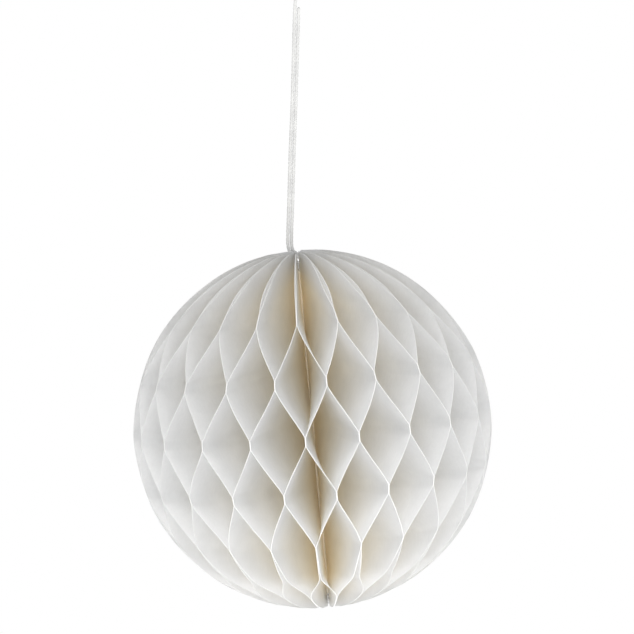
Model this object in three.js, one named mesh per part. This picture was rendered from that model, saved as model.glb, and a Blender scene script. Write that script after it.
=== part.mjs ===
// A paper honeycomb ball on a cotton string.
//
// Tissue half-discs (the leaves) fan right round a bound spine. Each leaf is glued to the leaf on one side
// along some rows and to the leaf on the other side along the rows between, so it zigzags as the ball opens.
// The first and last leaves are glued to two card boards, which meet back to back and are taped together.
//
// Millimetres, +Z up. The origin is where a hook bears on the top of the hanging loop; the ball hangs below
// it, leaning a little because the string is tied beside the spine.
import * as THREE from 'three';

// ---- driving dimensions -------------------------------------------------------------------------------
const ballRadius = 50;
const ballLean = THREE.MathUtils.degToRad(5.15); // the spine's top leans this far towards -X
const hookHeight = 141; // the hook's bearing point above the ball's centre
const hookAside = -4.2; // and how far it is to the side of that centre

const leafCount = 42;
const leafThickness = 0.13;
const leafClearance = 0.06; // from a leaf's face to the seam it shares with its neighbour
const leafInnerRadius = 1.8;
const frontSeam = THREE.MathUtils.degToRad(-2.2); // azimuth of the seam nearest the front, from -Y
const boardSeam = frontSeam + 24 * (2 * Math.PI) / leafCount; // the boards close the ball at the back

const rowPitch = 17; // height between neighbouring glue rows, measured at the spine
const rowPitchAtRim = 15.2; // opening the leaves draws the rows together at the rim
const middleRowHeight = 2.8;
const glueWidth = 2.7;
const lastRow = { top: 2, bottom: -3 }; // the outermost glue rows, counted from the middle one
const poleOpening = 0.33; // how far a glued pair of leaves gapes beyond its last row
const poleTip = 1.2; // width of a leaf's blunt tip at each pole

// The string leaves the crown towards the back seam, through a notch in the boards and in the leaves beside.
const notchedLeaves = 5; // on each side of the boards
const notchReach = 7.8;
const notchDepth = 4;

const boardThickness = 0.4;
const tapeThickness = 0.1;
const boardClearance = 0.1;
const boardInnerReach = 4.5; // the boards stop short of the spine, so they can close onto the folded leaves

const bindingRadius = 1.4;
const bindingBore = 0.7;
const bindingBottom = -46.4;
const bindingTop = 44.4;

const strandRadius = 0.4;
const strandSides = 8;
const strandStep = 2.4;
const strandSpacing = 1.05;
const knotRadius = 1.25;
const knotGap = 0.3;

// ---- finishes -----------------------------------------------------------------------------------------
const finishes = {
  tissue: { color: 0xe9e6df, roughness: 0.9, metalness: 0 },
  board: { color: 0xe4e0d6, roughness: 0.75, metalness: 0 },
  tape: { color: 0xd9d4c4, roughness: 0.45, metalness: 0 },
  binding: { color: 0xded6c4, roughness: 0.7, metalness: 0 },
  string: { color: 0xe6e5e1, roughness: 0.95, metalness: 0 },
};

const ball = new THREE.Group(); // the spine lies on this group's Z axis, with the ball's centre at its origin
ball.rotation.y = -ballLean;

const hanging = new THREE.Group(); // upright, with the ball's centre at its origin
hanging.position.set(-hookAside, 0, -hookHeight);
hanging.add(ball);

const honeycombBall = new THREE.Group();
honeycombBall.name = 'honeycomb_ball';
honeycombBall.add(hanging);

function addPart(group, name, geometry, finish) {
  const part = new THREE.Mesh(geometry, new THREE.MeshStandardMaterial(finishes[finish]));
  part.name = name;
  group.add(part);
  return part;
}

// ---- leaves -------------------------------------------------------------------------------------------

// Half the space at the back seam that the two boards and the tape between them take up.
const boardSpace = tapeThickness / 2 + boardThickness + boardClearance;

// A seam is the flat half-plane between two leaves. The boards take a slab of even thickness out of the
// circle, so the seams crowd together slightly more near the spine than they do at the rim.
function seamPoint(seam, radius) {
  const taken = Math.asin(boardSpace / radius);
  const azimuth = boardSeam + taken + seam * (2 * Math.PI - 2 * taken) / leafCount;
  return new THREE.Vector2(radius * Math.sin(azimuth), -radius * Math.cos(azimuth));
}

// The glue rows are straight lines from the spine to the rim, so their pitch falls evenly with radius.
const pitchLoss = (rowPitch - rowPitchAtRim) / ballRadius;

function rowHeight(row, radius) {
  return middleRowHeight + row * (rowPitch - pitchLoss * radius);
}

// Where the line of one row (or of a level between two rows) meets the ball's surface.
function rimRadius(row) {
  const start = middleRowHeight + row * rowPitch;
  const fall = row * pitchLoss;
  const a = 1 + fall * fall;
  const c = start * start - ballRadius * ballRadius;
  return (start * fall + Math.sqrt(start * start * fall * fall - a * c)) / a;
}

// The level, counted in rows, that reaches the ball's surface at a given radius near one pole.
function poleLevel(radius, side) {
  const height = side * Math.sqrt(ballRadius * ballRadius - radius * radius);
  return (height - middleRowHeight) / (rowPitch - pitchLoss * radius);
}

// How far from the spine a leaf's inner edge is at the crown.
function crownReach(leaf) {
  const notched = leaf <= notchedLeaves || leaf > leafCount - notchedLeaves;
  return notched ? notchReach : leafInnerRadius;
}

const topLevel = (leaf) => poleLevel(crownReach(leaf) + poleTip, 1);
const bottomLevel = poleLevel(leafInnerRadius + poleTip, -1);
const gluedHalf = glueWidth / 2 / rowPitch;

// The levels at which a leaf's outline has a corner: both edges of each glue row, with even steps between
// them, and steps that shorten towards the poles where the outline curves in.
function leafLevels(leaf) {
  const stepsBetweenRows = 2;
  const stepsToPole = 4;
  const levels = [];
  for (let row = lastRow.bottom + 1; row <= lastRow.top; row += 1) {
    levels.push(row - gluedHalf, row + gluedHalf);
    for (let step = 1; step < stepsBetweenRows && row < lastRow.top; step += 1) {
      levels.push(row + gluedHalf + (step / stepsBetweenRows) * (1 - 2 * gluedHalf));
    }
  }
  const high = levels[levels.length - 1];
  const low = levels[0];
  for (let step = 1; step <= stepsToPole; step += 1) {
    const eased = Math.sin((step / stepsToPole) * Math.PI / 2);
    levels.push(high + eased * (topLevel(leaf) - high));
    levels.unshift(low + eased * (bottomLevel - low));
  }
  return levels;
}

// Which way the leaf leans at a level: 1 on the seam it shares at even rows, -1 on the other seam.
function lean(leaf, level) {
  if (level > lastRow.top) {
    const along = (level - lastRow.top) / (topLevel(leaf) - lastRow.top);
    return 1 - poleOpening * Math.sin(Math.PI * along);
  }
  const beyond = lastRow.bottom + 1 - level;
  if (beyond > 0) {
    const swing = THREE.MathUtils.smoothstep(beyond, 0.5, 1 - gluedHalf);
    return (1 - poleOpening * Math.min(1, beyond / 0.5)) * (1 - swing) - swing;
  }
  const nearest = Math.round(level);
  const slack = Math.max(0, Math.abs(level - nearest) - gluedHalf) / (0.5 - gluedHalf);
  return (nearest % 2 === 0 ? 1 : -1) * (1 - slack);
}

// A point in a leaf's middle surface, on the level's straight line at the given radius.
function leafPoint(leaf, level, radius) {
  const low = seamPoint(leaf - 1, radius);
  const high = seamPoint(leaf, radius);
  const across = high.clone().sub(low);
  const room = across.length() / 2 - leafThickness / 2 - leafClearance;
  across.normalize();
  const towardsHigh = leaf % 2 === 0 ? 1 : -1; // even seams are the ones glued at even rows
  const middle = low.add(high).multiplyScalar(0.5);
  const point = middle.addScaledVector(across, towardsHigh * lean(leaf, level) * Math.max(0, room));
  return { point, across, height: rowHeight(level, radius) };
}

function innerRadiusAt(leaf, level) {
  const reach = crownReach(leaf);
  return rowHeight(level, reach) > ballRadius - notchDepth ? reach : leafInnerRadius;
}

function leafGeometry(leaf) {
  const positions = [];
  const index = [];
  const levels = leafLevels(leaf);
  for (const level of levels) {
    for (const radius of [innerRadiusAt(leaf, level), rimRadius(level)]) {
      const { point, across, height } = leafPoint(leaf, level, radius);
      for (const face of [-1, 1]) {
        const offset = face * leafThickness / 2;
        positions.push(point.x + across.x * offset, point.y + across.y * offset, height);
      }
    }
  }
  // A level's corners are 0 inner low, 1 inner high, 2 outer low and 3 outer high. Both faces of the paper
  // are split along the same diagonal, so they stay parallel where the leaf twists.
  const innerEnd = [0, 4, 1, 1, 4, 5];
  const highFace = [1, 5, 3, 3, 5, 7];
  const outerEnd = [3, 7, 2, 2, 7, 6];
  const lowFace = [2, 6, 4, 2, 4, 0];
  const strip = [...innerEnd, ...highFace, ...outerEnd, ...lowFace];
  for (let i = 0; i < levels.length - 1; i += 1) {
    index.push(...strip.map((corner) => 4 * i + corner));
  }
  const top = 4 * (levels.length - 1);
  index.push(0, 1, 3, 0, 3, 2);
  index.push(top, top + 3, top + 1, top, top + 2, top + 3);
  const geometry = new THREE.BufferGeometry();
  geometry.setAttribute('position', new THREE.Float32BufferAttribute(positions, 3));
  geometry.setIndex(index);
  geometry.computeVertexNormals();
  return geometry;
}

for (let leaf = 1; leaf <= leafCount; leaf += 1) {
  addPart(ball, `leaf_${String(leaf).padStart(2, '0')}`, leafGeometry(leaf), 'tissue');
}

// ---- boards and tape at the back seam -----------------------------------------------------------------

// In this group +X runs out from the spine along the back seam, and +Y towards the first leaf.
const backSeam = new THREE.Group();
backSeam.rotation.z = boardSeam - Math.PI / 2;
ball.add(backSeam);

// A half-disc whose straight edge stands a little way out from the spine, with its top corner notched.
function boardOutline() {
  const outline = new THREE.Shape();
  outline.absarc(0, 0, ballRadius, -Math.acos(boardInnerReach / ballRadius),
    Math.acos(notchReach / ballRadius), false);
  outline.lineTo(boardInnerReach, ballRadius - notchDepth);
  return outline;
}

// A flat piece drawn in the seam's XZ plane, with its near face at a given Y.
function seamPlate(outline, thickness, nearY, curveSegments) {
  const geometry = new THREE.ExtrudeGeometry(outline, {
    depth: thickness,
    bevelEnabled: false,
    curveSegments,
  });
  geometry.rotateX(Math.PI / 2);
  geometry.translate(0, nearY + thickness, 0);
  return geometry;
}

const boardA = seamPlate(boardOutline(), boardThickness, tapeThickness / 2, 36);
const boardB = seamPlate(boardOutline(), boardThickness, -tapeThickness / 2 - boardThickness, 36);
addPart(backSeam, 'cover_board_a', boardA, 'board');
addPart(backSeam, 'cover_board_b', boardB, 'board');

// Two strips of double-sided tape, thinner than the gap so that they stay clear of both boards.
const tapeFilm = 0.04;
const tapeStrips = { tape_strip_upper: 22, tape_strip_lower: -22 };
for (const [name, middle] of Object.entries(tapeStrips)) {
  const strip = new THREE.BoxGeometry(24, tapeFilm, 9);
  strip.translate(24, 0, middle);
  addPart(backSeam, name, strip, 'tape');
}

// ---- spine --------------------------------------------------------------------------------------------
function boredRod(outer, bore, bottom, top, sides) {
  const profile = [
    new THREE.Vector2(bore, bottom),
    new THREE.Vector2(outer, bottom),
    new THREE.Vector2(outer, top),
    new THREE.Vector2(bore, top),
    new THREE.Vector2(bore, bottom),
  ];
  return new THREE.LatheGeometry(profile, sides).rotateX(Math.PI / 2);
}

addPart(ball, 'spine_binding', boredRod(bindingRadius, bindingBore, bindingBottom, bindingTop, 20), 'binding');

function knot(radius, squash = 1) {
  return new THREE.SphereGeometry(radius, 14, 10).scale(1, 1, squash);
}

const crownKnotHeight = bindingTop + knotGap + knotRadius;
const footKnotHeight = bindingBottom - knotGap - knotRadius;
addPart(ball, 'crown_knot', knot(knotRadius), 'string').position.z = crownKnotHeight;
addPart(ball, 'foot_knot', knot(knotRadius), 'string').position.z = footKnotHeight;

// ---- string -------------------------------------------------------------------------------------------
function strand(points) {
  const route = new THREE.CatmullRomCurve3(points, false, 'centripetal');
  const section = new THREE.Shape();
  for (let side = 0; side < strandSides; side += 1) {
    const turn = (side / strandSides) * 2 * Math.PI;
    const x = strandRadius * Math.cos(turn);
    const y = strandRadius * Math.sin(turn);
    if (side === 0) section.moveTo(x, y);
    else section.lineTo(x, y);
  }
  return new THREE.ExtrudeGeometry(section, {
    steps: Math.max(2, Math.round(route.getLength() / strandStep)),
    extrudePath: route,
    bevelEnabled: false,
  });
}

const vector = (x, y, z) => new THREE.Vector3(x, y, z);

// The string's hidden run down the middle of the spine, from knot to knot.
addPart(ball, 'string_inner', strand([
  vector(0, 0, footKnotHeight + knotRadius + knotGap),
  vector(0, 0, 0),
  vector(0, 0, crownKnotHeight - knotRadius - knotGap),
]), 'string');

// The two strands leave the crown side by side, back through the notch and up to the hanging loop. The
// points run along the middle of the pair, in the upright group.
const loopKnotHeight = hookHeight - 18;
const stringRoute = [
  vector(-4.3, 0, 47.6),
  vector(-4.55, 0.6, 48.5),
  vector(-5.2, 2.3, 49),
  vector(-6, 4.6, 49.5),
  vector(-6.4, 5.9, 51),
  vector(-6.4, 6.2, 54.5),
  vector(-6.12, 5.7, 63),
  vector(-5.74, 4.6, 76.5),
  vector(-5.2, 3.3, 90),
  vector(-4.78, 2, 104),
  vector(-4.38, 0.9, 117.2),
];
const aside = (points, offset) => points.map((p) => vector(p.x + offset, p.y, p.z));
const mainEnd = vector(hookAside - 0.3, 0.6, loopKnotHeight - knotRadius - knotGap);
addPart(hanging, 'string_main', strand([...aside(stringRoute, -strandSpacing / 2), mainEnd]), 'string');
addPart(hanging, 'string_tail', strand(aside(stringRoute, strandSpacing / 2)), 'string');

const loopKnot = addPart(hanging, 'loop_knot', knot(knotRadius), 'string');
loopKnot.position.set(hookAside - 0.3, 0.6, loopKnotHeight);

// The hanging loop: up one side, over the hook and down the other side, back to its knot.
const loopFoot = loopKnotHeight + knotRadius + knotGap;
const loopTop = hookHeight + strandRadius;
addPart(hanging, 'hanging_loop', strand([
  vector(hookAside - 0.9, 0.55, loopFoot),
  vector(hookAside - 2.6, 0.4, loopFoot + 4),
  vector(hookAside - 4.1, 0.15, loopFoot + 9),
  vector(hookAside - 3.3, 0, loopTop - 1.9),
  vector(hookAside, 0, loopTop),
  vector(hookAside + 3.3, 0, loopTop - 1.9),
  vector(hookAside + 4.1, 0.15, loopFoot + 9),
  vector(hookAside + 2.4, 0.4, loopFoot + 4),
  vector(hookAside + 0.3, 0.55, loopFoot),
]), 'string');

export default honeycombBall;
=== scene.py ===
import math

import bpy
import numpy as np
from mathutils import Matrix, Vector


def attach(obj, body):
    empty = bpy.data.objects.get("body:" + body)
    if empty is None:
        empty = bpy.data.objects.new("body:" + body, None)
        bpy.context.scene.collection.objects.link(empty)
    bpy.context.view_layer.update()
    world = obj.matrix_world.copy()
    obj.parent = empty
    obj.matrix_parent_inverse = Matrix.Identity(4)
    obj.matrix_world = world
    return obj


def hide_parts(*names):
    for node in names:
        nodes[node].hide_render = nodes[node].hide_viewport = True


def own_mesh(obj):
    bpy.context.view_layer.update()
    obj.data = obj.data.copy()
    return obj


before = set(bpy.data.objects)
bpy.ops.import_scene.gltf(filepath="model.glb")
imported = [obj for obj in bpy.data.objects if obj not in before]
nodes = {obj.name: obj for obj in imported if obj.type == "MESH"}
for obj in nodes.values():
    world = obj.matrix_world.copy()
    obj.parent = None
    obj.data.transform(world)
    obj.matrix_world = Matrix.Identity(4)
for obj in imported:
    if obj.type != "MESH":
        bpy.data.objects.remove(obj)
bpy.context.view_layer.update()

# ---- dimensions, in millimetres, as in the CAD source -----------------------------------------------
MM = 0.001
BALL_RADIUS = 50.0
BALL_LEAN = math.radians(5.15)
BALL_CENTRE = np.array([4.2, 0.0, -141.0])

LEAF_COUNT = 42
LEAF_INNER_RADIUS = 1.8
FRONT_SEAM = math.radians(-2.2)
BOARD_SEAM = FRONT_SEAM + 24 * 2 * math.pi / LEAF_COUNT
BOARD_SPACE = 0.55

ROW_PITCH = 17.0
ROW_PITCH_AT_RIM = 15.2
MIDDLE_ROW = 2.8
GLUED_HALF = 1.35 / ROW_PITCH
TOP_ROW = 2
BOTTOM_ROW = -3
POLE_OPENING = 0.33
POLE_TIP = 1.2
NOTCHED_LEAVES = 5
NOTCH_REACH = 7.8
NOTCH_DEPTH = 4.0

CURL = 0.12  # how much the paper curves, rather than creases, as it leaves a glued joint
EDGE_WIDTH = 0.15  # how wide a leaf's cut edge shows
PAPER_HALF = 0.03
STRAND_RADIUS = 0.46
STRAND_SPACING = 1.05
STRAND_SIDES = 24
STRAND_STEP = 0.25

HOOK_ASIDE = -4.2
LOOP_KNOT = np.array([HOOK_ASIDE - 0.3, 0.6, 123.0])
LOOP_FOOT = 124.55
LOOP_TOP = 141.4

FLOOR_HALF = 4.0  # metres
FLOOR_HEIGHT = -1.2

CAMERA_ELEVATION = math.radians(7.2)
CAMERA_DISTANCE = 1.05  # metres, from the ball's centre
CAMERA_AIM = Vector((0.0012, 0, 0.0313))  # metres, from the ball's centre
CAMERA_LENS = 213.5

rng = np.random.default_rng(42)


# ---- helpers ----------------------------------------------------------------------------------------
def ball_to_row(points):
    """Points in the ball's own frame (spine along Z), in mm, as row frame points in metres."""
    x, y, z = np.moveaxis(np.asarray(points, float), -1, 0)
    turned = np.stack([
        x * math.cos(BALL_LEAN) - z * math.sin(BALL_LEAN),
        y,
        x * math.sin(BALL_LEAN) + z * math.cos(BALL_LEAN),
    ], axis=-1)
    return (turned + BALL_CENTRE) * MM


def mesh_object(name, vertices, faces, materials, body, face_material=None):
    mesh = bpy.data.meshes.new(name)
    mesh.from_pydata([tuple(v) for v in vertices], [], [tuple(f) for f in faces])
    for material in materials:
        mesh.materials.append(material)
    if face_material is not None:
        mesh.polygons.foreach_set("material_index", np.asarray(face_material, np.int32))
    mesh.polygons.foreach_set("use_smooth", np.ones(len(mesh.polygons), bool))
    mesh.validate()
    mesh.update()
    piece = bpy.data.objects.new(name, mesh)
    bpy.context.scene.collection.objects.link(piece)
    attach(piece, body)
    return piece


def grid_faces(rows, columns, start=0, closed=False):
    """Quads of a rows x columns grid of vertices; closed joins the last column to the first."""
    faces = []
    for i in range(rows - 1):
        for j in range(columns if closed else columns - 1):
            k = (j + 1) % columns
            a, b = start + i * columns + j, start + i * columns + k
            faces.append((a, b, b + columns, a + columns))
    return faces


# ---- camera -----------------------------------------------------------------------------------------
def add_camera():
    data = bpy.data.cameras.new("camera")
    camera = bpy.data.objects.new("camera", data)
    bpy.context.scene.collection.objects.link(camera)
    bpy.context.scene.camera = camera
    centre = Vector(BALL_CENTRE * MM)
    direction = Vector((0, -math.cos(CAMERA_ELEVATION), math.sin(CAMERA_ELEVATION)))
    camera.location = centre + direction * CAMERA_DISTANCE
    aim = centre + CAMERA_AIM
    camera.rotation_euler = (aim - camera.location).to_track_quat("-Z", "Y").to_euler()
    data.sensor_width = 36
    data.lens = CAMERA_LENS
    data.clip_start = 0.05
    data.clip_end = 50


add_camera()


# ---- materials --------------------------------------------------------------------------------------
class Shader:
    """A material's node tree, with short calls for adding and joining nodes."""

    def __init__(self, name):
        self.material = bpy.data.materials.new(name)
        self.material.use_nodes = True
        self.tree = self.material.node_tree
        self.tree.nodes.clear()
        self.output = self.add("ShaderNodeOutputMaterial")
        self.coordinates = self.add("ShaderNodeTexCoord").outputs["Object"]

    def add(self, kind, inputs=None, **settings):
        node = self.tree.nodes.new(kind)
        for key, value in settings.items():
            setattr(node, key, value)
        for key, value in (inputs or {}).items():
            if isinstance(value, bpy.types.NodeSocket):
                self.tree.links.new(value, node.inputs[key])
            else:
                node.inputs[key].default_value = value
        return node

    def noise(self, scale, detail=3.0, roughness=0.55, stretch=(1, 1, 1)):
        """Noise whose scale is in features per metre, from 0 to 1."""
        place = self.add("ShaderNodeMapping", {"Vector": self.coordinates, "Scale": stretch})
        return self.add("ShaderNodeTexNoise", {
            "Vector": place.outputs["Vector"], "Scale": scale, "Detail": detail, "Roughness": roughness,
        }).outputs["Fac"]

    def spread(self, value, low, high, start=0.3, end=0.7):
        """value from start..end, remapped to low..high."""
        return self.add("ShaderNodeMapRange", {
            "Value": value, "From Min": start, "From Max": end, "To Min": low, "To Max": high,
        }).outputs["Result"]

    def maths(self, operation, a, b=0.0):
        return self.add("ShaderNodeMath", {0: a, 1: b}, operation=operation).outputs[0]

    def mix(self, factor, a, b):
        node = self.add("ShaderNodeMix", {"Factor": factor}, data_type="RGBA")
        for socket, value in ((node.inputs[6], a), (node.inputs[7], b)):
            if isinstance(value, bpy.types.NodeSocket):
                self.tree.links.new(value, socket)
            else:
                socket.default_value = (*value, 1)
        return node.outputs[2]

    def shade(self, colour, factor):
        """colour, made lighter or darker by factor."""
        node = self.add("ShaderNodeVectorMath", {0: colour, "Scale": factor}, operation="SCALE")
        return node.outputs["Vector"]

    def bump(self, height, strength, distance):
        return self.add("ShaderNodeBump", {
            "Height": height, "Strength": strength, "Distance": distance,
        }).outputs["Normal"]

    def finish(self, shader):
        self.tree.links.new(shader, self.output.inputs["Surface"])
        return self.material


def paper_grain(shader):
    """Tissue's cloudy formation and its fine fibres, as (brightness, height)."""
    cloud = shader.noise(150, detail=4)
    fibre = shader.noise(1400, detail=5, roughness=0.7, stretch=(1, 1, 0.35))
    crease = shader.noise(60, detail=2, stretch=(1, 1, 0.5))
    brightness = shader.maths(
        "MULTIPLY", shader.spread(cloud, 0.975, 1.02), shader.spread(fibre, 0.975, 1.02))
    height = shader.maths("ADD", shader.maths("MULTIPLY", fibre, 0.25), crease)
    return brightness, height


def painted_light_by_depth(shader):
    """Where painted light goes: 1 beside the spine, falling to 0 at the leaves' rims."""
    centre = Vector(BALL_CENTRE * MM)
    spine = Vector(ball_to_row([0, 0, 1]) / MM) - Vector(BALL_CENTRE)
    offset = shader.add("ShaderNodeVectorMath", {0: shader.coordinates, 1: centre}, operation="SUBTRACT")
    offset = offset.outputs["Vector"]
    moment = shader.add("ShaderNodeVectorMath", {0: offset, 1: spine}, operation="CROSS_PRODUCT")
    from_spine = shader.add(
        "ShaderNodeVectorMath", {0: moment.outputs["Vector"]}, operation="LENGTH").outputs["Value"]
    from_centre = shader.add("ShaderNodeVectorMath", {0: offset}, operation="LENGTH").outputs["Value"]
    return shader.maths(
        "MULTIPLY",
        shader.spread(from_spine, 1.0, 0.0, start=0.003, end=0.046),
        shader.spread(from_centre, 1.0, 0.0, start=0.042, end=0.0500))


def make_tissue():
    shader = Shader("tissue_paper")
    brightness, height = paper_grain(shader)
    # Painted light: the paper is painted brighter and warmer towards the spine, standing in for light
    # scattered deep inside the cells.
    colour = shader.mix(painted_light_by_depth(shader), (0.822, 0.825, 0.827), (0.993, 0.96, 0.885))
    colour = shader.shade(colour, brightness)
    normal = shader.bump(height, 0.35, 0.0003)
    paper = shader.add("ShaderNodeBsdfPrincipled", {
        "Base Color": colour, "Roughness": 0.85, "Specular IOR Level": 0.2,
        "Sheen Weight": 0.05, "Normal": normal,
    })
    glow = shader.add("ShaderNodeBsdfTranslucent", {"Color": colour, "Normal": normal})
    both = shader.add("ShaderNodeMixShader", {0: 0.68, 1: paper.outputs[0], 2: glow.outputs[0]})
    return shader.finish(both.outputs[0])


def make_cut_edge():
    shader = Shader("tissue_cut_edge")
    ragged = shader.noise(2200, detail=4)
    colour = shader.shade(
        shader.mix(ragged, (0.78, 0.78, 0.772), (0.83, 0.83, 0.822)), shader.spread(ragged, 0.97, 1.0))
    edge = shader.add("ShaderNodeBsdfPrincipled", {
        "Base Color": colour, "Roughness": 0.9, "Specular IOR Level": 0.15,
        "Normal": shader.bump(ragged, 0.4, 0.00005),
    })
    return shader.finish(edge.outputs[0])


def make_card():
    shader = Shader("cover_card")
    pulp = shader.noise(500, detail=6, roughness=0.65)
    flecks = shader.noise(2600, detail=2)
    colour = shader.mix(shader.spread(pulp, 0, 1), (0.66, 0.645, 0.605), (0.72, 0.705, 0.665))
    colour = shader.shade(colour, shader.spread(flecks, 0.94, 1.02, 0.25, 0.6))
    card = shader.add("ShaderNodeBsdfPrincipled", {
        "Base Color": colour, "Roughness": shader.spread(pulp, 0.62, 0.8), "Specular IOR Level": 0.3,
        "Normal": shader.bump(pulp, 0.3, 0.0001),
    })
    return shader.finish(card.outputs[0])


def make_tape():
    shader = Shader("adhesive_tape")
    streaks = shader.noise(300, detail=3, stretch=(1, 1, 6))
    colour = shader.mix(shader.spread(streaks, 0, 1), (0.70, 0.66, 0.53), (0.79, 0.76, 0.65))
    tape = shader.add("ShaderNodeBsdfPrincipled", {
        "Base Color": colour, "Roughness": shader.spread(streaks, 0.3, 0.5),
        "Normal": shader.bump(streaks, 0.2, 0.00003),
    })
    return shader.finish(tape.outputs[0])


def make_binding():
    shader = Shader("glued_binding")
    glue = shader.noise(260, detail=4)
    threads = shader.noise(900, detail=3, stretch=(1, 1, 0.15))
    colour = shader.mix(shader.spread(glue, 0, 1), (0.80, 0.74, 0.62), (0.88, 0.83, 0.72))
    colour = shader.shade(colour, shader.spread(threads, 0.92, 1.04))
    binding = shader.add("ShaderNodeBsdfPrincipled", {
        "Base Color": colour, "Roughness": shader.spread(glue, 0.45, 0.75),
        "Normal": shader.bump(threads, 0.5, 0.0002),
    })
    return shader.finish(binding.outputs[0])


def make_cotton():
    shader = Shader("cotton_string")
    fibre = shader.noise(3800, detail=4, roughness=0.7, stretch=(1, 1, 0.4))
    tone = shader.noise(220, detail=2)
    colour = shader.mix(shader.spread(tone, 0, 1), (0.54, 0.54, 0.535), (0.62, 0.62, 0.61))
    colour = shader.shade(colour, shader.spread(fibre, 0.9, 1.05))
    cotton = shader.add("ShaderNodeBsdfPrincipled", {
        "Base Color": colour, "Roughness": 0.95, "Specular IOR Level": 0.1, "Sheen Weight": 0.25,
        "Normal": shader.bump(fibre, 0.5, 0.00008),
    })
    return shader.finish(cotton.outputs[0])


tissue = make_tissue()
cut_edge = make_cut_edge()
card = make_card()
tape = make_tape()
binding = make_binding()
cotton = make_cotton()


# ---- string -----------------------------------------------------------------------------------------
def smooth_path(points, step):
    """A centripetal Catmull-Rom curve through the points, as evenly spaced points."""
    p = np.asarray(points, float)
    p = np.vstack([2 * p[0] - p[1], p, 2 * p[-1] - p[-2]])
    knots = np.concatenate([[0], np.cumsum(np.linalg.norm(np.diff(p, axis=0), axis=1) ** 0.5)])
    out = []
    for i in range(1, len(p) - 2):
        t0, t1, t2, t3 = knots[i - 1:i + 3]
        t = np.linspace(t1, t2, 24, endpoint=False)[:, None]
        a1 = (t1 - t) / (t1 - t0) * p[i - 1] + (t - t0) / (t1 - t0) * p[i]
        a2 = (t2 - t) / (t2 - t1) * p[i] + (t - t1) / (t2 - t1) * p[i + 1]
        a3 = (t3 - t) / (t3 - t2) * p[i + 1] + (t - t2) / (t3 - t2) * p[i + 2]
        b1 = (t2 - t) / (t2 - t0) * a1 + (t - t0) / (t2 - t0) * a2
        b2 = (t3 - t) / (t3 - t1) * a2 + (t - t1) / (t3 - t1) * a3
        out.append((t2 - t) / (t2 - t1) * b1 + (t - t1) / (t2 - t1) * b2)
    dense = np.vstack(out + [p[-2:-1]])
    along = np.concatenate([[0], np.cumsum(np.linalg.norm(np.diff(dense, axis=0), axis=1))])
    places = np.linspace(0, along[-1], max(3, round(along[-1] / step) + 1))
    return np.stack([np.interp(places, along, dense[:, k]) for k in range(3)], axis=1)


def twisted_strand(name, path, body, radius=STRAND_RADIUS, plies=3, lay=3.4, closed=False):
    """A tube along path (mm, row frame) with plies twisted round it, one turn every lay mm."""
    sides = STRAND_SIDES
    count = len(path)
    if closed:
        tangent = np.roll(path, -1, axis=0) - np.roll(path, 1, axis=0)
    else:
        tangent = np.gradient(path, axis=0)
    tangent /= np.linalg.norm(tangent, axis=1)[:, None]
    side = np.cross(tangent[0], (0, 1, 0.01))
    side /= np.linalg.norm(side)
    along = np.concatenate([[0], np.cumsum(np.linalg.norm(np.diff(path, axis=0), axis=1))])
    rings = []
    angle = np.arange(sides) / sides * 2 * math.pi
    for i in range(count):
        side = side - tangent[i] * side.dot(tangent[i])
        side /= np.linalg.norm(side)
        other = np.cross(tangent[i], side)
        phase = angle - 2 * math.pi * along[i] / lay
        lobe = np.abs(np.cos(plies * phase / 2))
        reach = radius * (0.80 + 0.22 * lobe ** 0.7) * (1 + 0.03 * math.sin(along[i] * 2.3))
        reach *= 1 - (0.5 if i in (0, count - 1) and not closed else 0)
        rings.append(path[i] + np.outer(np.cos(angle) * reach, side) + np.outer(np.sin(angle) * reach, other))
    vertices = np.vstack(rings)
    faces = grid_faces(count, sides, closed=True)
    if closed:
        faces += [(a + (count - 1) * sides, b + (count - 1) * sides, b, a)
                  for a, b in ((j, (j + 1) % sides) for j in range(sides))]
    else:
        vertices = np.vstack([vertices, path[0], path[-1]])
        last = (count - 1) * sides
        faces += [((j + 1) % sides, j, len(vertices) - 2) for j in range(sides)]
        faces += [(last + j, last + (j + 1) % sides, len(vertices) - 1) for j in range(sides)]
    piece = mesh_object(name, vertices * MM, faces, [cotton], body)
    return piece


def tied_knot(name, node, centre, axis_tilt, body, reach=1.35):
    """An overhand knot drawn tight: a trefoil of string round the given centre (mm, row frame)."""
    t = np.linspace(0, 2 * math.pi, 120, endpoint=False)
    curve = np.stack([
        (2 + np.cos(3 * t)) * np.cos(2 * t),
        (2 + np.cos(3 * t)) * np.sin(2 * t),
        1.7 * np.sin(3 * t),
    ], axis=1)
    curve *= (reach - 0.38) / 3
    tilt_cos, tilt_sin = math.cos(axis_tilt), math.sin(axis_tilt)
    turned = np.stack([
        curve[:, 0], curve[:, 1] * tilt_cos - curve[:, 2] * tilt_sin,
        curve[:, 1] * tilt_sin + curve[:, 2] * tilt_cos,
    ], axis=1)
    piece = twisted_strand(name, turned + centre, body, radius=0.4, lay=2.4, closed=True)
    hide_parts(node)
    return piece


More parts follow.
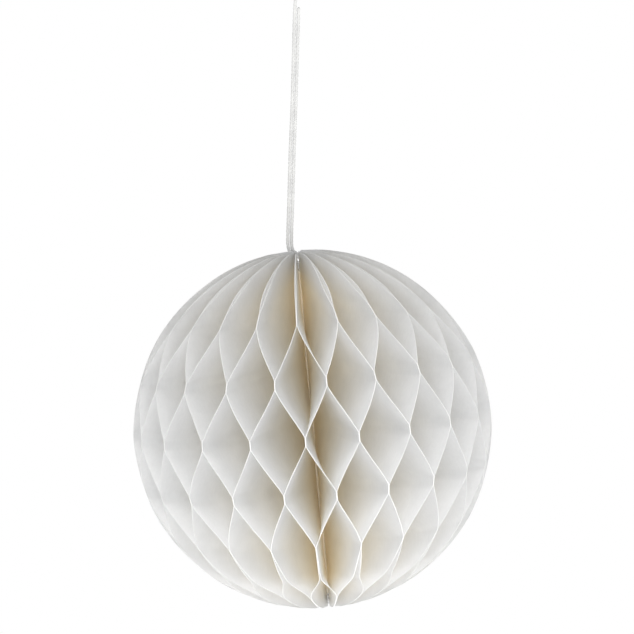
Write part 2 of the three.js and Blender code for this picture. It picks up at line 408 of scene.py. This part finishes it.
STRING_ROUTE = np.array([
    (-4.3, 0, 47.6), (-4.55, 0.6, 48.5), (-5.2, 2.3, 49), (-6, 4.6, 49.5), (-6.4, 5.9, 51),
    (-6.4, 6.2, 54.5), (-6.12, 5.7, 63), (-5.74, 4.6, 76.5), (-5.2, 3.3, 90), (-4.78, 2, 104),
    (-4.38, 0.9, 117.2),
])
MAIN_END = LOOP_KNOT - (0, 0, 1.55)
main_route = np.vstack([STRING_ROUTE - (STRAND_SPACING / 2, 0, 0), MAIN_END]) + BALL_CENTRE
tail_route = STRING_ROUTE + (STRAND_SPACING / 2, 0, 0) + BALL_CENTRE
loop_route = np.array([
    (-0.9, 0.55, LOOP_FOOT), (-2.6, 0.4, LOOP_FOOT + 4), (-4.1, 0.15, LOOP_FOOT + 9),
    (-3.3, 0, LOOP_TOP - 1.9), (0, 0, LOOP_TOP), (3.3, 0, LOOP_TOP - 1.9),
    (4.1, 0.15, LOOP_FOOT + 9), (2.4, 0.4, LOOP_FOOT + 4), (0.3, 0.55, LOOP_FOOT),
]) + (HOOK_ASIDE, 0, 0) + BALL_CENTRE

loop_knot = tied_knot("loop_knot_tied", "loop_knot", LOOP_KNOT + BALL_CENTRE, 0.5, "hanging_side", 1.6)
loop = twisted_strand("hanging_loop_string", smooth_path(loop_route, STRAND_STEP), "hanging_side")
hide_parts("hanging_loop")
for name, node, route, far_end, held in (
    ("string_main_strand", "string_main", main_route, "knot", [loop_knot, loop]),
    ("string_tail_strand", "string_tail", tail_route, "bare", []),
):
    path = smooth_path(route, STRAND_STEP)
    strand = twisted_strand(name, path, "hanging_side")
    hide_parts(node)

crown_knot_place = ball_to_row([0, 0, 45.95]) / MM
foot_knot_place = ball_to_row([0, 0, -47.95]) / MM
tied_knot("crown_knot_tied", "crown_knot", crown_knot_place, 0.3, "hanging_side")
tied_knot("foot_knot_tied", "foot_knot", foot_knot_place, -0.4, "hanging_side")


# ---- leaves -----------------------------------------------------------------------------------------
PITCH_LOSS = (ROW_PITCH - ROW_PITCH_AT_RIM) / BALL_RADIUS


def row_height(level, radius):
    return MIDDLE_ROW + level * (ROW_PITCH - PITCH_LOSS * radius)


def rim_radius(level):
    start = MIDDLE_ROW + level * ROW_PITCH
    fall = level * PITCH_LOSS
    a = 1 + fall * fall
    c = start * start - BALL_RADIUS ** 2
    return (start * fall + np.sqrt(start * start * fall * fall - a * c)) / a


def pole_level(radius, side):
    height = side * math.sqrt(BALL_RADIUS ** 2 - radius ** 2)
    return (height - MIDDLE_ROW) / (ROW_PITCH - PITCH_LOSS * radius)


def crown_reach(leaf):
    """How far from the spine a leaf's inner edge is at the crown, where some are notched for the string."""
    notched = leaf <= NOTCHED_LEAVES or leaf > LEAF_COUNT - NOTCHED_LEAVES
    return NOTCH_REACH if notched else LEAF_INNER_RADIUS


BOTTOM_LEVEL = pole_level(LEAF_INNER_RADIUS + POLE_TIP, -1)


def leaf_levels(top_level):
    """Levels from the bottom pole to the top, closer together on the glue rows and at the poles."""
    levels = []
    for row in range(BOTTOM_ROW + 1, TOP_ROW + 1):
        levels += list(np.linspace(row - GLUED_HALF, row + GLUED_HALF, 4))
        if row < TOP_ROW:
            levels += list(np.linspace(row + GLUED_HALF, row + 1 - GLUED_HALF, 14)[1:-1])
    eased = np.sin(np.linspace(0, math.pi / 2, 22))[1:]
    above = levels[-1] + eased * (top_level - levels[-1])
    below = levels[0] + eased * (BOTTOM_LEVEL - levels[0])
    return np.array([*below[::-1], *levels, *above])


def smoothstep(x, low, high):
    t = np.clip((x - low) / (high - low), 0, 1)
    return t * t * (3 - 2 * t)


def lean(level, top_level, gape):
    """Which way a leaf leans: 1 on the seam it shares at even rows, -1 on the other seam."""
    if level > TOP_ROW:
        along = (level - TOP_ROW) / (top_level - TOP_ROW)
        return 1 - POLE_OPENING * gape * math.sin(math.pi * min(1, max(0, along - 0.18) / 0.8))
    beyond = BOTTOM_ROW + 1 - level
    if beyond > 0:
        swing = smoothstep(beyond, 0.5, 1 - GLUED_HALF)
        return (1 - POLE_OPENING * gape * min(1, beyond / 0.5)) * (1 - swing) - swing
    nearest = round(level)
    slack = max(0, abs(level - nearest) - GLUED_HALF) / (0.5 - GLUED_HALF)
    eased = (1 - CURL) * (1 - slack) + CURL * math.cos(slack * math.pi / 2)
    return (1 if nearest % 2 == 0 else -1) * eased


GAPES = rng.uniform(0.25, 1.1, LEAF_COUNT + 1)  # how far each even seam gapes at the poles
GAPES[18] = 0.15
WAVES = rng.uniform(0, 2 * math.pi, (LEAF_COUNT + 1, 3))
SWELL = rng.uniform(-1, 1, (LEAF_COUNT + 1, 2))


def seam_azimuth(seam, level, radius):
    """A seam's azimuth at each level and radius, with the small drift of hand-opened paper."""
    taken = np.arcsin(BOARD_SPACE / radius)
    even = BOARD_SEAM + taken + seam * (2 * math.pi - 2 * taken) / LEAF_COUNT
    if seam in (0, LEAF_COUNT):
        return even
    phase = WAVES[seam]
    drift = 0.5 * np.sin(1.1 * level + phase[0]) + 0.35 * np.sin(2.7 * level + phase[1])
    return even + drift * 0.0065 * smoothstep(radius, 2, 50)


def leaf_surface(leaf):
    """The leaf's middle surface and the direction across it, as levels x radii grids (ball frame)."""
    reach = crown_reach(leaf)
    top_level = pole_level(reach + POLE_TIP, 1)
    levels = leaf_levels(top_level)
    notch_foot = BALL_RADIUS - NOTCH_DEPTH
    in_notch = smoothstep(row_height(levels, reach), notch_foot, notch_foot + 1.2)
    inner = LEAF_INNER_RADIUS + (reach - LEAF_INNER_RADIUS) * in_notch
    share = np.linspace(0, 1, 20)
    radius = inner[:, None] + (rim_radius(levels) - inner)[:, None] * share
    level = levels[:, None]
    sides = []
    for seam in (leaf - 1, leaf):
        azimuth = seam_azimuth(seam, level, radius)
        sides.append(np.stack([radius * np.sin(azimuth), -radius * np.cos(azimuth)], axis=-1))
    across = sides[1] - sides[0]
    width = np.linalg.norm(across, axis=-1)
    across /= width[..., None]
    gap = PAPER_HALF + (EDGE_WIDTH / 2 - PAPER_HALF) * share ** 6
    room = np.maximum(0, width / 2 - gap)
    towards_high = 1 if leaf % 2 == 0 else -1
    gape = GAPES[leaf if leaf % 2 == 0 else leaf - 1]
    leans = np.array([lean(x, top_level, gape) for x in levels])
    lean_here = towards_high * leans[:, None] * np.ones_like(radius)
    free = 1 - np.abs(lean_here)
    bulge = SWELL[leaf, 0] * np.sin(math.pi * share) + SWELL[leaf, 1] * np.sin(2.3 * level)
    lean_here = np.clip(lean_here + 0.08 * free * bulge, -1, 1)
    middle = (sides[0] + sides[1]) / 2 + across * (lean_here * room)[..., None]
    height = row_height(level, radius)
    return np.dstack([middle, height]), np.dstack([across, np.zeros_like(height)])


def add_leaf(leaf):
    surface, across = leaf_surface(leaf)
    rows, columns = surface.shape[:2]
    vertices = surface.reshape(-1, 3)
    faces = grid_faces(rows, columns)
    face_material = [0] * len(faces)
    rim = surface[:, -1]
    outward = rim / np.linalg.norm(rim, axis=1)[:, None]
    ragged = 1 + 0.1 * rng.standard_normal((rows, 1))
    half = across[:, -1] * EDGE_WIDTH / 2 * np.clip(ragged, 0.75, 1.2)
    edge = np.stack([rim - half, rim + outward * 0.03, rim + half], axis=1)
    faces += grid_faces(rows, 3, start=len(vertices))
    face_material += [1] * (len(faces) - len(face_material))
    vertices = np.vstack([vertices, edge.reshape(-1, 3)])
    name = f"leaf_{leaf:02d}"
    piece = mesh_object(
        name + "_tissue", ball_to_row(vertices), faces, [tissue, cut_edge], name + "_sheet", face_material)
    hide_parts(name)
    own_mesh(piece)


for leaf in range(1, LEAF_COUNT + 1):
    add_leaf(leaf)


# ---- boards, tape and spine -------------------------------------------------------------------------
for node, material in (
    ("cover_board_a", card), ("cover_board_b", card),
    ("tape_strip_upper", tape), ("tape_strip_lower", tape),
    ("spine_binding", binding), ("string_inner", cotton),
):
    nodes[node].data.materials.clear()
    nodes[node].data.materials.append(material)


# ---- floor and light --------------------------------------------------------------------------------
def add_floor():
    shader = Shader("pale_floor")
    colour = shader.mix(shader.noise(6, detail=2), (0.86, 0.86, 0.86), (0.88, 0.88, 0.88))
    surface = shader.add("ShaderNodeBsdfPrincipled", {
        "Base Color": colour, "Roughness": 0.9, "Emission Color": (1, 1, 1, 1), "Emission Strength": 0.6,
    })
    material = shader.finish(surface.outputs[0])
    mesh = bpy.data.meshes.new("floor")
    corners = [(x * FLOOR_HALF, y * FLOOR_HALF, FLOOR_HEIGHT)
               for x, y in ((-1, -1), (1, -1), (1, 1), (-1, 1))]
    mesh.from_pydata(corners, [], [(0, 1, 2, 3)])
    mesh.materials.append(material)
    floor = bpy.data.objects.new("floor", mesh)
    bpy.context.scene.collection.objects.link(floor)


def add_area_light(name, place, size, power, colour):
    data = bpy.data.lights.new(name, "AREA")
    data.shape = "DISK"
    data.size = size
    data.energy = power
    data.color = colour
    light = bpy.data.objects.new(name, data)
    light.location = place
    target = Vector(BALL_CENTRE * MM)
    light.rotation_euler = (target - light.location).to_track_quat("-Z", "Y").to_euler()
    bpy.context.scene.collection.objects.link(light)


def set_world():
    """White all round, a little darker overhead."""
    world = bpy.data.worlds.new("studio")
    world.use_nodes = True
    tree = world.node_tree
    direction = tree.nodes.new("ShaderNodeTexCoord").outputs["Generated"]
    height = tree.nodes.new("ShaderNodeSeparateXYZ")
    fall = tree.nodes.new("ShaderNodeMapRange")
    tree.links.new(direction, height.inputs[0])
    tree.links.new(height.outputs["Z"], fall.inputs["Value"])
    for key, value in (("From Min", 0.0), ("From Max", 0.5), ("To Min", 1.0), ("To Max", 0.62)):
        fall.inputs[key].default_value = value
    tree.links.new(fall.outputs["Result"], tree.nodes["Background"].inputs["Strength"])
    tree.nodes["Background"].inputs["Color"].default_value = (1, 1, 1, 1)
    bpy.context.scene.world = world


add_floor()
set_world()
add_area_light("key", (0.9, -0.8, -0.25), 0.8, 3.6, (1.0, 0.995, 0.985))
add_area_light("front", (-0.05, -1.4, -0.1), 0.9, 9.8, (1.0, 1.0, 1.0))
add_area_light("back", (-0.8, 1.3, 0.1), 0.8, 1.6, (1.0, 1.0, 1.0))
cycles = bpy.context.scene.cycles
cycles.max_bounces = 24
cycles.diffuse_bounces = 16
cycles.transmission_bounces = 24
view = bpy.context.scene.view_settings
view.view_transform = "Standard"
view.look = "None"
